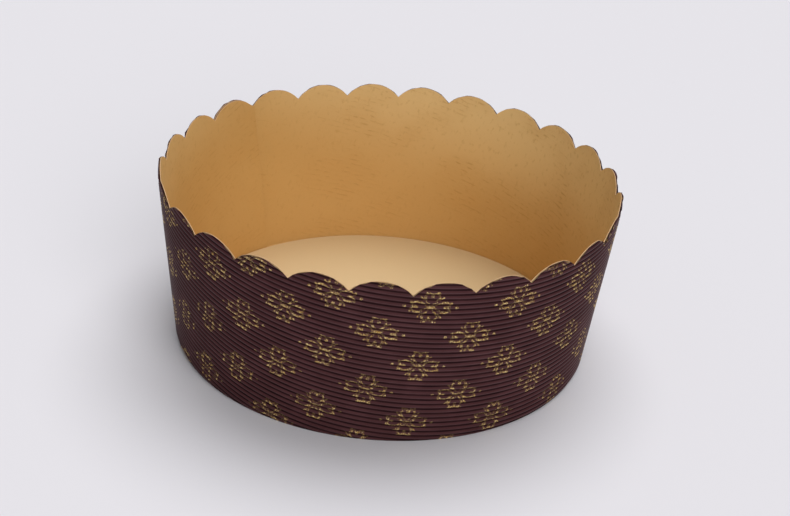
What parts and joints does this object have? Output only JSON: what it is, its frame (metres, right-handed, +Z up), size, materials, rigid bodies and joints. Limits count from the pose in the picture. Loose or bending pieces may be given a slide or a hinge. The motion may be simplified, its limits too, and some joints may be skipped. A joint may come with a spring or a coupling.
{
  "type": "paper baking cup",
  "caption": "Round low paper baking cup with a scalloped rim, rolled from dark brown corrugated paper with a gold print and a tan lining, closed by a tan base disc",
  "frame": {"origin": "centre of the round underside, on the plane that the cup stands on", "axes": "+Z up through the open mouth; the seam's inner end lies between -X and +Y; seen along +Y the cup is seen as in its picture"},
  "size_m": [0.1874, 0.1873, 0.0735],
  "materials": {
    "fluted_paper": "matt, dark brown print with a broken gold ornament on fine flutes",
    "liner_paper": "smooth matt greaseproof paper",
    "base_paper": "smooth matt greaseproof paper"
  },
  "bodies": {
    "root": {"fluted_outer_wall": "fluted_paper", "smooth_liner": "liner_paper", "base_disc": "base_paper"}
  },
  "joints": []
}
